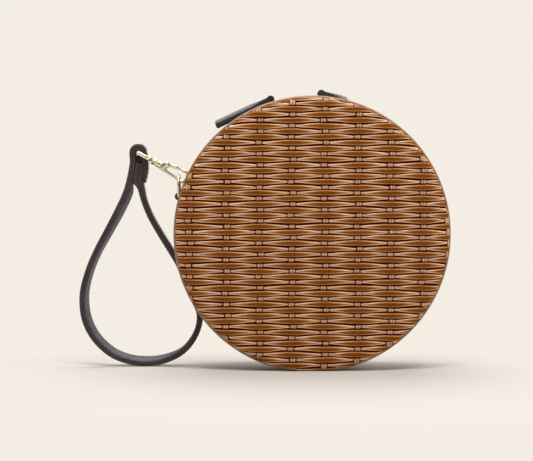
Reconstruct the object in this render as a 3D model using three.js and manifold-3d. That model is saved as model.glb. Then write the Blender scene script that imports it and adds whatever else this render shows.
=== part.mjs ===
// A round rattan wristlet bag: two woven discs with rolled rims, joined by a leather
// gusset with a two-slider zip over the top, and a leather wrist strap on a snap hook.
// Millimetres, +Z up. The bag stands on the floor at z = 0 and its round face looks along -Y.
import * as THREE from 'three';
import { mergeVertices } from 'three/addons/utils/BufferGeometryUtils.js';
import Module from 'manifold-3d';

const wasm = await Module();
wasm.setup();

// Driving dimensions of the bag
const GAP = 0.3; // clearance between pieces that touch on the real bag
const RIM_RADIUS = 90;
const BAG_DEPTH = 60;
const PANEL_WALL = 3;
const RIM_ROLL = 6; // radius of the panel's rolled edge
const RIM_DEPTH = 7.5; // from the face of a panel to the back of its rolled edge
const RIM_BEAD = 5; // radial thickness of the rolled edge
const FLAT_HALF_ANGLE = 10; // degrees of the rim flattened on the floor, each side of the lowest point
const CENTRE_Z = RIM_RADIUS * Math.cos(THREE.MathUtils.degToRad(FLAT_HALF_ANGLE));
const TURN_STEP = 5; // degrees for each facet of the round parts
const GUSSET_WALL = 2;
const SIDE_OVERHANG = 3; // how far the rims stand proud of the gusset at the sides
const TOP_OVERHANG = 1.5; // and over the zip

// Zip
const ZIP_END = 60; // degrees from the top to each end of the zip
const ZIP_SLOT = 14; // width between the two leather zip bands
const TAPE_WALL = 1.2;
const CHAIN_WIDTH = 6;
const CHAIN_HEIGHT = 1.8;
const CHAIN_DROP = 0.4; // top of the teeth below the leather
const CHAIN_MARGIN = 3; // degrees of bare tape at each end of the teeth
const SLIDER = { length: 14, width: 9.4, plate: 0.8, flange: 1, pinOffset: 4.6 };
const SLIDER_EAR = { thick: 1.2, inner: 3.1, radius: 1.5 };
const PULL = { length: 40, width: 11, neck: 5.6, thick: 4, tailThick: 1.5 };
const PULL_EYE = { hole: 1.4, outer: 2.5, pin: 1 };
const PULL_ANGLES = { left: 107, right: 86 }; // where each pull hangs on its slider
const PULL_LIFT = 2.6; // degrees that the straight left pull stands off the teeth

// Wrist strap, snap hook and D-ring
const STRAP_WIDTH = 12;
const STRAP_THICK = 3.8;
const STRAP_CHAMFER = 0.7;
const STRAP_LOOP = { x: -114.1, z: 141.6, radius: 3.9 }; // fold of the strap round the eye's bar
const D_RING = { wire: 0.95, halfWidth: 6.6, barAngle: 164.6, barRadius: 90.7 };
const RING_APEX = { x: -87.5, z: 126.4 }; // where the D-ring passes through the hook
const TAB = { width: 10.4, thick: 3, eyeHole: 1.35, eyeOuter: 2.6, end: 179 };
const EYE = { wire: 1.4, halfWidth: 7.8, reach: 14.2, barrel: 2.4, pin: 1.2 };
const HOOK = { halfThick: 2, bevel: 0.4, bore: 1.5, collar: 2.7 };
const GATE = { u: 6.2, v: 2.3, halfThick: 1, knuckle: 1.5, hole: 0.9, pin: 0.6, slot: 1.3 };

const materials = {
  rattan: new THREE.MeshStandardMaterial({ color: 0x87592f, roughness: 0.45, metalness: 0 }),
  tan: new THREE.MeshStandardMaterial({ color: 0x7a4a24, roughness: 0.6, metalness: 0 }),
  dark: new THREE.MeshStandardMaterial({ color: 0x40363a, roughness: 0.55, metalness: 0 }),
  tape: new THREE.MeshStandardMaterial({ color: 0x4a3323, roughness: 0.9, metalness: 0 }),
  gold: new THREE.MeshStandardMaterial({ color: 0xd8b96c, roughness: 0.25, metalness: 1 }),
};

// Small helpers
const radians = THREE.MathUtils.degToRad;
const smooth = THREE.MathUtils.smoothstep;
const range = (count) => Array.from({ length: count }, (_, i) => i);
const point = (x, y, z) => new THREE.Vector3(x, y, z);

// A point on the bag at an angle from +X, seen from the front, and a radius from its axis.
function onDrum(degrees, radius, y = 0) {
  const a = radians(degrees);
  return point(radius * Math.cos(a), y, CENTRE_Z + radius * Math.sin(a));
}

// Outer radius of the gusset: level with the rims on the floor, drawn in at the sides and over the zip.
function gussetRadius(degrees) {
  const turn = THREE.MathUtils.euclideanModulo(degrees - 270, 360);
  const fromBottom = Math.min(turn, 360 - turn);
  const sides = SIDE_OVERHANG * smooth(fromBottom, 30, 65);
  return RIM_RADIUS - sides + (SIDE_OVERHANG - TOP_OVERHANG) * smooth(fromBottom, 115, 150);
}

// Turns a three.js geometry into a solid whose faces point out.
function solidOf(geometry) {
  const bare = new THREE.BufferGeometry().setAttribute('position', geometry.getAttribute('position'));
  bare.setIndex(geometry.index);
  const merged = mergeVertices(bare, 1e-4);
  const vertProperties = new Float32Array(merged.attributes.position.array);
  const make = (triVerts) => new wasm.Manifold(new wasm.Mesh({ numProp: 3, vertProperties, triVerts }));
  const made = make(new Uint32Array(merged.index.array));
  if (made.volume() > 0) return made;
  return make(new Uint32Array(merged.index.array).reverse());
}

function geometryOf(solid) {
  const mesh = solid.getMesh();
  const geometry = new THREE.BufferGeometry();
  geometry.setAttribute('position', new THREE.BufferAttribute(mesh.vertProperties, 3));
  geometry.setIndex(new THREE.BufferAttribute(mesh.triVerts, 1));
  return geometry;
}

// Skins a row of sections with equal point counts. An open row gets a flat cap at each end.
function loft(sections, closed = false) {
  const sides = sections[0].length;
  const positions = sections.flat().flatMap((p) => [p.x, p.y, p.z]);
  const index = [];
  const bands = closed ? sections.length : sections.length - 1;
  for (const i of range(bands)) {
    const here = i * sides;
    const next = ((i + 1) % sections.length) * sides;
    for (const j of range(sides)) {
      const k = (j + 1) % sides;
      index.push(here + j, next + j, next + k, here + j, next + k, here + k);
    }
  }
  if (!closed) {
    const last = (sections.length - 1) * sides;
    for (const j of range(sides - 2)) {
      index.push(0, j + 1, j + 2, last, last + j + 2, last + j + 1);
    }
  }
  const geometry = new THREE.BufferGeometry();
  geometry.setAttribute('position', new THREE.Float32BufferAttribute(positions, 3));
  geometry.setIndex(index);
  return solidOf(geometry);
}

// A rod or block in a piece's own axes, moved to its centre.
function rodAlongY(radius, length, centre, sides = 16) {
  const geometry = new THREE.CylinderGeometry(radius, radius, length, sides);
  return solidOf(geometry.translate(centre.x, centre.y, centre.z));
}

function rodAlongX(radius, from, to, sides = 16) {
  const geometry = new THREE.CylinderGeometry(radius, radius, to - from, sides).rotateZ(Math.PI / 2);
  return solidOf(geometry.translate((from + to) / 2, 0, 0));
}

function block(size, centre) {
  const geometry = new THREE.BoxGeometry(size.x, size.y, size.z);
  return solidOf(geometry.translate(centre.x, centre.y, centre.z));
}

// A wire of round section along a closed ring of points in one plane with normal `normal`.
function wireRing(points, normal, radius, sides = 8) {
  const sections = points.map((p, i) => {
    const before = points[(i + points.length - 1) % points.length];
    const after = points[(i + 1) % points.length];
    const outward = point().subVectors(after, before).cross(normal).normalize();
    return range(sides).map((j) => {
      const a = (2 * Math.PI * (j + 0.5)) / sides;
      const away = outward.clone().multiplyScalar(Math.cos(a)).addScaledVector(normal, Math.sin(a));
      return p.clone().addScaledVector(away, radius);
    });
  });
  return loft(sections, true);
}

// A band of the gusset: a box section swept round the bag between two angles.
function drumBand({ from, to, outer, wall, front, back, floor = false }) {
  const steps = Math.round((to - from) / TURN_STEP);
  const sections = range(steps + 1).map((i) => {
    const angle = from + ((to - from) * i) / steps;
    const radius = gussetRadius(angle) + outer;
    const corners = [
      [radius, front, 0],
      [radius, back, 0],
      [radius - wall, back, wall],
      [radius - wall, front, wall],
    ];
    return corners.map(([r, y, lowest]) => {
      const p = onDrum(angle, r, y);
      if (floor) p.z = Math.max(p.z, lowest);
      return p;
    });
  });
  return loft(sections);
}

const bag = new THREE.Group();

function add(name, solid, material, parent = bag) {
  const mesh = new THREE.Mesh(geometryOf(solid), material);
  mesh.name = name;
  parent.add(mesh);
  return mesh;
}

// Woven panels: a flat disc with a rolled rim, pressed flat where the rim stands on the floor
function arcPoints(centre, radius, fromDegrees, toDegrees, steps) {
  return range(steps + 1).map((i) => {
    const a = radians(fromDegrees + ((toDegrees - fromDegrees) * i) / steps);
    return new THREE.Vector2(centre.x + radius * Math.cos(a), centre.y + radius * Math.sin(a));
  });
}

function wovenPanel(side) {
  const face = BAG_DEPTH / 2;
  const rimBack = face - RIM_DEPTH;
  const innerFace = face - PANEL_WALL;
  const roll = new THREE.Vector2(RIM_RADIUS - RIM_ROLL, face - RIM_ROLL);
  const lip = 1; // small round at the back of the rolled edge
  const profile = [
    new THREE.Vector2(0, face),
    ...arcPoints(roll, RIM_ROLL, 90, 0, 5),
    new THREE.Vector2(RIM_RADIUS, rimBack + lip),
    new THREE.Vector2(RIM_RADIUS - lip, rimBack),
    new THREE.Vector2(RIM_RADIUS - RIM_BEAD, rimBack),
    new THREE.Vector2(RIM_RADIUS - RIM_BEAD, innerFace - 1.5),
    new THREE.Vector2(RIM_RADIUS - RIM_BEAD - 1.5, innerFace),
    new THREE.Vector2(0, innerFace),
  ];
  const turned = profile.map((p) => new THREE.Vector2(p.x, p.y * side));
  const geometry = new THREE.LatheGeometry(turned, 360 / TURN_STEP);
  const positions = geometry.getAttribute('position');
  for (const i of range(positions.count)) {
    positions.setZ(i, Math.max(positions.getZ(i) + CENTRE_Z, 0));
  }
  return solidOf(geometry);
}

add('front_panel', wovenPanel(-1), materials.rattan);
add('back_panel', wovenPanel(1), materials.rattan);

// Leather gusset round the sides and the bottom, and the two bands beside the zip
const gussetHalf = BAG_DEPTH / 2 - RIM_DEPTH - GAP;
const zipLeft = 90 + ZIP_END;
const zipRight = 90 - ZIP_END;
const endGap = THREE.MathUtils.radToDeg(GAP / RIM_RADIUS);

add('gusset', drumBand({
  from: zipLeft,
  to: zipRight + 360,
  outer: 0,
  wall: GUSSET_WALL,
  front: -gussetHalf,
  back: gussetHalf,
  floor: true,
}), materials.tan);

function zipBand(front, back) {
  const ends = { from: zipRight + endGap, to: zipLeft - endGap };
  return drumBand({ ...ends, outer: 0, wall: GUSSET_WALL, front, back });
}
add('zip_band_front', zipBand(-gussetHalf, -ZIP_SLOT / 2), materials.tan);
add('zip_band_back', zipBand(ZIP_SLOT / 2, gussetHalf), materials.tan);

// Zip tape and its closed row of teeth
const tapeTop = -CHAIN_DROP - CHAIN_HEIGHT - GAP;
const tapeHalf = ZIP_SLOT / 2 - GAP;

add('zip_tape', drumBand({
  from: zipRight + endGap,
  to: zipLeft - endGap,
  outer: tapeTop,
  wall: TAPE_WALL,
  front: -tapeHalf,
  back: tapeHalf,
}), materials.tape);
add('zip_chain', drumBand({
  from: zipRight + CHAIN_MARGIN,
  to: zipLeft - CHAIN_MARGIN,
  outer: -CHAIN_DROP,
  wall: CHAIN_HEIGHT,
  front: -CHAIN_WIDTH / 2,
  back: CHAIN_WIDTH / 2,
}), materials.gold);

// A group that stands on the zip: local +X runs along the tape towards `tail`, local +Z out of the bag.
function zipFrame(degrees, tail) {
  const out = onDrum(degrees, 1).sub(point(0, 0, CENTRE_Z));
  const along = point(-out.z * tail, 0, out.x * tail);
  const across = point().crossVectors(out, along);
  const frame = new THREE.Group();
  frame.quaternion.setFromRotationMatrix(new THREE.Matrix4().makeBasis(along, across, out));
  return frame;
}

// Heights above the bag's axis at the zip
const zipRadius = gussetRadius(90);
const plateBottom = zipRadius - CHAIN_DROP + GAP;
const plateTop = plateBottom + SLIDER.plate;
const pinHeight = plateTop + GAP + PULL_EYE.outer;
const pullRest = plateBottom; // underside of a pull that lies on the teeth

// Zip slider: a plate with side flanges that straddle the teeth, and two ears that carry the pull's pin
function zipSlider() {
  const body = -SLIDER.pinOffset;
  const flangeDepth = CHAIN_HEIGHT + GAP;
  const earHeight = pinHeight - plateBottom;
  const plateSize = point(SLIDER.length, SLIDER.width, SLIDER.plate);
  const plate = block(plateSize, point(body, 0, SLIDER.plate / 2));
  const pieces = [-1, 1].flatMap((side) => {
    const flangeY = side * (SLIDER.width - SLIDER.flange) / 2;
    const earY = side * (SLIDER_EAR.inner + SLIDER_EAR.thick / 2);
    const flangeSize = point(SLIDER.length, SLIDER.flange, flangeDepth);
    const flange = block(flangeSize, point(body, flangeY, 0.2 - flangeDepth / 2));
    const postSize = point(2 * SLIDER_EAR.radius, SLIDER_EAR.thick, earHeight);
    const post = block(postSize, point(0, earY, earHeight / 2));
    const round = rodAlongY(SLIDER_EAR.radius, SLIDER_EAR.thick, point(0, earY, earHeight));
    return [flange, post, round];
  });
  const pinLength = 2 * SLIDER_EAR.inner + SLIDER_EAR.thick;
  const pin = rodAlongY(PULL_EYE.pin, pinLength, point(0, 0, earHeight), 12);
  return [...pieces, pin].reduce((sum, piece) => sum.add(piece), plate);
}

// Centreline of a pull from its pin, in the zip frame: straight to the teeth, then on or bent along them
function pullLine(bent) {
  const line = pullRest + PULL.thick / 2;
  const reach = Math.sqrt(pinHeight ** 2 - line ** 2);
  const dip = Math.atan2(reach, line); // angle at the bag's axis from the pin to where the pull touches
  const shoulder = [0, 1, 1.4, 1.8, 2.2].map((turns) => turns * PULL_EYE.outer);
  const rest = range(9).map((i) => THREE.MathUtils.lerp(shoulder[4], PULL.length, (i + 1) / 9));
  return [...shoulder, ...rest].map((s) => {
    const width = THREE.MathUtils.lerp(PULL.neck, PULL.width, smooth(s, shoulder[1], shoulder[4]));
    const thinning = bent ? smooth(s, reach * 0.5, reach * 1.3) : 0;
    const thick = THREE.MathUtils.lerp(PULL.thick, PULL.tailThick, thinning);
    if (!bent || s < reach) {
      const lean = bent ? dip : dip - radians(PULL_LIFT);
      return { x: s * Math.cos(lean), z: -s * Math.sin(lean), thick, width, lean };
    }
    const turn = dip + (s - reach) / line;
    const radius = pullRest + thick / 2;
    const x = radius * Math.sin(turn);
    const z = radius * Math.cos(turn) - pinHeight;
    return { x, z, thick, width, lean: turn };
  });
}

// Leather zip pull: an eye round the pin, a narrow neck and a flat tab
function zipPull(bent) {
  const tab = loft(pullLine(bent).map(({ x, z, thick, width, lean }) => {
    const up = point(Math.sin(lean), 0, Math.cos(lean)).multiplyScalar(thick / 2);
    const middle = point(x, 0, z);
    return [[-1, 1], [1, 1], [1, -1], [-1, -1]].map(([side, level]) =>
      middle.clone().addScaledVector(up, level).add(point(0, (side * width) / 2, 0)));
  }));
  const eye = rodAlongY(PULL_EYE.outer, PULL.neck, point(0, 0, 0), 20);
  const hole = rodAlongY(PULL_EYE.hole, 2 * PULL.neck, point(0, 0, 0), 20);
  return tab.add(eye).subtract(hole);
}

for (const [side, degrees] of Object.entries(PULL_ANGLES)) {
  const frame = zipFrame(degrees, side === 'left' ? 1 : -1);
  frame.position.z = CENTRE_Z;
  bag.add(frame);
  add(`slider_${side}`, zipSlider(), materials.gold, frame).position.z = plateBottom;
  add(`pull_${side}`, zipPull(side === 'right'), materials.dark, frame).position.z = pinHeight;
}

// Leather tab on the gusset, folded round the D-ring's bar
const ringBar = onDrum(D_RING.barAngle, D_RING.barRadius);

function ringTab() {
  const steps = 5;
  const start = D_RING.barAngle + 0.6;
  const strip = loft(range(steps + 1).map((i) => {
    const angle = start + ((TAB.end - start) * i) / steps;
    const inner = gussetRadius(angle) + GAP;
    const outer = inner + (i === steps ? TAB.thick / 2 : TAB.thick);
    const corners = [[inner, -1], [inner, 1], [outer, 1], [outer, -1]];
    return corners.map(([r, side]) => onDrum(angle, r, (side * TAB.width) / 2));
  }));
  const fold = rodAlongY(TAB.eyeOuter, TAB.width, ringBar, 20);
  const hole = rodAlongY(TAB.eyeHole, 2 * TAB.width, ringBar, 20);
  return strip.add(fold).subtract(hole);
}
add('ring_tab', ringTab(), materials.dark);

// D-ring: a straight bar in the tab's fold and a half round that the hook holds
function dRing() {
  const apex = point(RING_APEX.x, 0, RING_APEX.z);
  const up = apex.clone().sub(ringBar);
  const height = up.length();
  up.normalize();
  const corner = 1.2;
  const straight = height - D_RING.halfWidth;
  const across = point(0, 1, 0);
  const at = (y, t) => ringBar.clone().addScaledVector(across, y).addScaledVector(up, t);
  const half = D_RING.halfWidth;
  const path = [at(half - corner, 0), at(half - 0.35, 0.35), at(half, corner)];
  for (const i of range(13)) {
    const a = (Math.PI * i) / 12;
    path.push(at(half * Math.cos(a), straight + half * Math.sin(a)));
  }
  path.push(at(-half, corner), at(0.35 - half, 0.35), at(corner - half, 0));
  return wireRing(path, point().crossVectors(across, up), D_RING.wire);
}
add('d_ring', dRing(), materials.gold);

// Snap hook frame: local +X runs from the strap to the D-ring, +Y to the gate and +Z to the front
const strapBar = point(STRAP_LOOP.x, 0, STRAP_LOOP.z);
const hookAxis = point(RING_APEX.x, 0, RING_APEX.z).sub(strapBar).normalize();
const gateSide = point(-hookAxis.z, 0, hookAxis.x);
const clasp = new THREE.Group();
clasp.position.copy(strapBar).addScaledVector(hookAxis, EYE.reach);
clasp.quaternion.setFromRotationMatrix(
  new THREE.Matrix4().makeBasis(hookAxis, gateSide, point().crossVectors(hookAxis, gateSide)));
bag.add(clasp);

// A flat plate cut from an outline in the hook's plane, with rounded edges
function hookPlate(outline, halfThick, bevel) {
  const geometry = new THREE.ExtrudeGeometry(outline, {
    depth: 2 * (halfThick - bevel),
    bevelThickness: bevel,
    bevelSize: bevel,
    bevelOffset: -bevel,
    bevelSegments: 1,
    curveSegments: 10,
  });
  return solidOf(geometry.translate(0, 0, bevel - halfThick));
}

function rodAcrossHook(radius, length, u, v, sides = 16) {
  const geometry = new THREE.CylinderGeometry(radius, radius, length, sides).rotateX(Math.PI / 2);
  return solidOf(geometry.translate(u, v, 0));
}

// Hook body: collar, spine, round end and nose. The mouth between nose and collar is closed by the gate.
function hookBody() {
  const end = { u: 18.8, v: 0.8, outer: 4.5, inner: 2.3 };
  const noseTip = 15.3;
  const outline = new THREE.Shape();
  outline.moveTo(0, -HOOK.collar);
  outline.lineTo(end.u - 1.6, end.v - end.outer + 0.3);
  outline.absarc(end.u, end.v, end.outer, radians(-100), radians(90), false);
  outline.lineTo(noseTip, end.v + end.outer - 0.4);
  outline.lineTo(noseTip, end.v + end.inner - 0.1);
  outline.lineTo(end.u, end.v + end.inner);
  outline.absarc(end.u, end.v, end.inner, radians(90), radians(-90), true);
  outline.lineTo(9, -0.9);
  outline.quadraticCurveTo(GATE.u + 1.2, -0.8, GATE.u + 0.8, GATE.v - GATE.knuckle - 0.4);
  outline.absarc(GATE.u, GATE.v, GATE.knuckle + 0.5, radians(-60), radians(110), false);
  outline.lineTo(0, HOOK.collar);
  outline.closePath();
  const plate = hookPlate(outline, HOOK.halfThick, HOOK.bevel);
  const collar = rodAlongX(HOOK.collar, 0, 3.4);
  const bore = rodAlongX(HOOK.bore, -1, 9);
  const slotLength = 2 * (GATE.knuckle + GAP);
  const knuckleSlot = rodAcrossHook(GATE.knuckle + GAP, 2 * GATE.slot, GATE.u, GATE.v, 20);
  const sweepSize = point(slotLength * 2, slotLength, 2 * GATE.slot);
  const sweepSlot = block(sweepSize, point(GATE.u + slotLength, GATE.v, 0));
  const pin = rodAcrossHook(GATE.pin, 2 * HOOK.halfThick - 0.4, GATE.u, GATE.v, 12);
  return plate.add(collar).subtract(bore).subtract(knuckleSlot).subtract(sweepSlot).add(pin);
}
add('hook_body', hookBody(), materials.gold, clasp);

// Sprung gate: a lever on the hook's pin, whose free end meets the nose
function hookGate() {
  const lever = new THREE.Shape();
  lever.moveTo(GATE.u - 0.2, GATE.v + GATE.knuckle - 0.1);
  lever.lineTo(11, 4.4);
  lever.quadraticCurveTo(12.2, 5.9, 13.4, 4.7);
  lever.lineTo(14.9, 4.8);
  lever.lineTo(14.9, 3.3);
  lever.lineTo(GATE.u + 0.6, GATE.v - GATE.knuckle + 0.2);
  lever.closePath();
  const plate = hookPlate(lever, GATE.halfThick, 0.2);
  const knuckle = rodAcrossHook(GATE.knuckle, 2 * GATE.halfThick, GATE.u, GATE.v, 20);
  const hole = rodAcrossHook(GATE.hole, 4 * GATE.halfThick, GATE.u, GATE.v, 16);
  return plate.add(knuckle).subtract(hole);
}
add('hook_gate', hookGate(), materials.gold, clasp);

// Swivel eye: a wire loop for the strap on a barrel whose pin turns in the hook's collar
function swivelEye() {
  const bar = -EYE.reach;
  const half = EYE.halfWidth;
  const shoulder = -5.6;
  const neck = -3;
  const outline = [
    [bar, half - 1.6],
    [bar + 0.5, half - 0.5],
    [bar + 1.6, half],
    [shoulder, half],
    [shoulder + 0.9, half - 0.9],
    [neck, 1.6],
    [neck, -1.6],
    [shoulder + 0.9, 0.9 - half],
    [shoulder, -half],
    [bar + 1.6, -half],
    [bar + 0.5, 0.5 - half],
    [bar, 1.6 - half],
  ];
  const loop = wireRing(outline.map(([u, y]) => point(u, 0, y)), point(0, 1, 0), EYE.wire);
  const barrel = rodAlongX(EYE.barrel, neck - 0.4, -GAP);
  const pin = rodAlongX(EYE.pin, -1, 5.2, 12);
  return loop.add(barrel).add(pin);
}
add('swivel_eye', swivelEye(), materials.gold, clasp);

// Wrist strap: one strip folded round the eye, led round the wrist loop and ended between its own plies.
// Columns: place in the front view, depth, twist of the strip about its own line, and thickness.
const strapRow = (x, z, y = 0, twist = 0, thick = STRAP_THICK) => ({ x, z, y, twist, thick });
const foldRows = range(7).map((i) => {
  const a = (Math.PI * i) / 6;
  const { x, z, radius } = STRAP_LOOP;
  return strapRow(x + radius * Math.cos(a), z + radius * Math.sin(a));
});
const strapRows = [
  strapRow(-110.0, 121.6, 0, 0, 1.4), // skived free end
  strapRow(-109.6, 125.6, 0, 0, 2.6),
  strapRow(-109.1, 130.8, 0, 0, 3.2),
  strapRow(-109.3, 136.0, 0, 0, 3.6),
  ...foldRows,
  strapRow(-117.6, 136.0),
  strapRow(-118.2, 130.8, 0, 0, 4),
  strapRow(-119.0, 126.4, 0, 0, 4),
  strapRow(-120.0, 121.6, 0, 3),
  strapRow(-121.0, 115.4, 0, 14),
  strapRow(-126.4, 103.5, 0, 14),
  strapRow(-133.8, 89.8, 1, 11),
  strapRow(-141.5, 75.7, 1, 8),
  strapRow(-147.2, 62.0, 2, 8),
  strapRow(-150.5, 47.0, 2, 10),
  strapRow(-148.9, 31.1, 2, 12),
  strapRow(-142.6, 18.7, 2, 11),
  strapRow(-132.0, 8.9, 2, 11),
  strapRow(-120.8, 4.3, 2, 10),
  strapRow(-111.5, 3.0, 2, 11), // lowest point, on the floor
  strapRow(-102.6, 3.4, 2, 9),
  strapRow(-93.8, 5.8, 1, 6),
  strapRow(-85.2, 10.2, 1, 1),
  strapRow(-78.5, 17.8),
  strapRow(-74.5, 26.9),
  strapRow(-74.0, 35.8), // leans on the gusset from here
  strapRow(-77.2, 43.3),
  strapRow(-80.9, 50.9),
  strapRow(-84.1, 58.5),
  strapRow(-87.2, 67.3), // and leaves it here
  strapRow(-93.0, 77.2),
  strapRow(-99.8, 88.3),
  strapRow(-106.4, 100.2),
  strapRow(-110.4, 110.4),
  strapRow(-112.5, 118.8), // padded from here to its end between the plies
  strapRow(-114.3, 122.8, 0, 0, 5.8),
  strapRow(-113.95, 126.6, 0, 0, 5.4),
  strapRow(-113.45, 130.8, 0, 0, 4.8),
  strapRow(-113.4, 135.4, 0, 0, 4),
  strapRow(-113.75, 138.6, 0, 0, 3.6),
];

function wristStrap() {
  const stepsPerRow = 3;
  const places = strapRows.map(({ x, y, z }) => point(x, y, z));
  const line = new THREE.CatmullRomCurve3(places, false, 'centripetal');
  const last = strapRows.length - 1;
  const sections = range(last * stepsPerRow + 1).map((i) => {
    const t = i / stepsPerRow;
    const before = Math.min(Math.floor(t), last - 1);
    const row = strapRows[before];
    const next = strapRows[before + 1];
    const part = t - before;
    const middle = line.getPoint(t / last);
    const along = line.getTangent(t / last);
    const twist = radians(THREE.MathUtils.lerp(row.twist, next.twist, part));
    const level = point(0, 1, 0).addScaledVector(along, -along.y).normalize();
    const across = level.applyAxisAngle(along, twist);
    const through = point().crossVectors(along, across);
    const halfThick = THREE.MathUtils.lerp(row.thick, next.thick, part) / 2;
    const halfWidth = STRAP_WIDTH / 2;
    const cut = Math.min(STRAP_CHAMFER, halfThick * 0.6);
    const corners = [
      [halfWidth - cut, halfThick],
      [halfWidth, halfThick - cut],
      [halfWidth, cut - halfThick],
      [halfWidth - cut, -halfThick],
      [cut - halfWidth, -halfThick],
      [-halfWidth, cut - halfThick],
      [-halfWidth, halfThick - cut],
      [cut - halfWidth, halfThick],
    ];
    return corners.map(([w, h]) => {
      const p = middle.clone().addScaledVector(across, w).addScaledVector(through, h);
      p.z = Math.max(p.z, 0);
      return p;
    });
  });
  return loft(sections);
}
add('wrist_strap', wristStrap(), materials.dark);

export default bag;
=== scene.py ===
"""Looks for a round rattan wristlet bag.

Woven panels, leather gusset, zip with two pulls, wrist strap and gold snap hook.
"""
import math

import bmesh
import bpy
import numpy as np
from mathutils import Matrix, Vector


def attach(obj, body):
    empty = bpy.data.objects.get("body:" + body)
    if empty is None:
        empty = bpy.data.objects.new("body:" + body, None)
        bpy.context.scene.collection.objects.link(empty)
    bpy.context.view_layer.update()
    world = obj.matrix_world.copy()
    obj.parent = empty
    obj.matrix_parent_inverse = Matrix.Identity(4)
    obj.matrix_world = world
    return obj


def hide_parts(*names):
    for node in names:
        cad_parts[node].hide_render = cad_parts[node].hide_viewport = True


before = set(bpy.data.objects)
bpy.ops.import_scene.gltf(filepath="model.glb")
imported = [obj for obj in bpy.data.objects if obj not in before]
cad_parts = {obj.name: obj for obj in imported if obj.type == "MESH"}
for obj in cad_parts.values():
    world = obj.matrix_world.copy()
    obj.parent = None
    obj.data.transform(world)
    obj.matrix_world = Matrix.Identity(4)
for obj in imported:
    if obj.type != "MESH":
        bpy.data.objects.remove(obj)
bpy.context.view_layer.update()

# Sizes in millimetres and angles in degrees, in the frame of the solids
MM = 0.001
RIM_R = 90.0
ROLL = 6.0  # radius of a panel's rolled edge
FACE = 30.0  # from the middle of the bag to the face of a panel
RIM_BACK = 22.5  # and to the back of its rolled edge
RIM_BEAD = 5.0  # radial thickness of the rolled edge
PANEL_WALL = 3.0
FLAT_R = RIM_R - ROLL  # the panel is flat up to here, then rolls back
FLAT_HALF_ANGLE = 10.0  # the rim is flattened on the floor this far each side
CENTRE_Z = RIM_R * math.cos(math.radians(FLAT_HALF_ANGLE))
GUSSET_HALF = 22.2
GUSSET_WALL = 2.0
SIDE_OVERHANG = 3.0  # how far the rims stand proud of the gusset at the sides
TOP_OVERHANG = 1.5  # and over the zip
ZIP_LEFT, ZIP_RIGHT = 150.0, 30.0  # ends of the zip
ZIP_SLOT_HALF = 7.0
TOP_R = RIM_R - TOP_OVERHANG  # leather beside the zip, at the top
PIN_R = TOP_R + 3.5  # pins of the two zip pulls
PULL_PINS = {"left": 107.0, "right": 86.0}
STRAP_EYE = np.array([-114.1, 0, 141.6])  # bar of the eye that carries the strap
RING_APEX = np.array([-87.5, 0, 126.4])  # where the D-ring passes through the hook
EYE_REACH = 14.2  # from the eye's bar to the start of the hook
RING_BAR_ANGLE, RING_BAR_R = 164.6, 90.7
Y_AXIS = np.array([0.0, 1.0, 0.0])


# Small maths
def smooth(x, low, high):
    """0 up to low, rising softly to 1 at high."""
    t = np.clip((x - low) / (high - low), 0, 1)
    return t * t * (3 - 2 * t)


def unit(v):
    v = np.asarray(v, float)
    return v / np.linalg.norm(v, axis=-1, keepdims=True)


def full_turn(sides):
    return np.linspace(0, 2 * math.pi, sides, endpoint=False)


def gusset_radius(degrees):
    """Outer radius of the gusset: level with the rims on the floor, drawn in at the sides and the zip."""
    turn = np.mod(np.asarray(degrees, float) - 270, 360)
    from_bottom = np.minimum(turn, 360 - turn)
    sides = SIDE_OVERHANG * smooth(from_bottom, 30, 65)
    return RIM_R - sides + (SIDE_OVERHANG - TOP_OVERHANG) * smooth(from_bottom, 115, 150)


def on_drum(degrees, radius, y):
    """Point on the bag at an angle from +X seen from the front, a radius from its axis and a depth."""
    a = np.radians(degrees)
    return np.stack(np.broadcast_arrays(radius * np.cos(a), y, CENTRE_Z + radius * np.sin(a)), -1)


def drum_out(degrees, y):
    """Direction out of the bag at an angle, one for each depth."""
    return unit(on_drum(degrees, 2.0, y) - on_drum(degrees, 1.0, y))


def rounded(half_w, half_h, corner, steps=3):
    """Outline of a rounded rectangle as (across, up) pairs."""
    turns = np.radians(np.linspace(0, 90, steps))
    points = []
    for quarter, (sx, sy) in enumerate([(1, 1), (-1, 1), (-1, -1), (1, -1)]):
        for a in turns + quarter * math.pi / 2:
            x = sx * (half_w - corner) + corner * math.cos(a)
            y = sy * (half_h - corner) + corner * math.sin(a)
            points.append((x, y))
    return np.array(points)


def spline(points, steps):
    """Centripetal Catmull-Rom curve through the points, `steps` pieces for each span."""
    p = np.vstack([2 * points[0] - points[1], points, 2 * points[-1] - points[-2]])
    w = np.linspace(0, 1, steps, endpoint=False)[:, None]
    curve = []
    for a, b, c, d in zip(p, p[1:], p[2:], p[3:]):
        before, here, after = (math.sqrt(np.linalg.norm(v)) for v in (b - a, c - b, d - c))
        m1 = ((b - a) / before - (c - a) / (before + here) + (c - b) / here) * here
        m2 = ((c - b) / here - (d - b) / (here + after) + (d - c) / after) * here
        curve.append(b + m1 * w + (3 * (c - b) - 2 * m1 - m2) * w**2 + (2 * (b - c) + m1 + m2) * w**3)
    return np.vstack(curve + [points[-1:]])


# Meshes
STITCH_SECTIONS = [  # along, share of the radius, lift
    (-0.5, 0.4, -0.3), (-0.3, 1, -0.12), (0, 1, -0.08), (0.3, 1, -0.12), (0.5, 0.4, -0.3)]
STITCH_SIDES = 6
WIRE_SIDES = 14
BEVEL_ANGLE = 40


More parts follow.
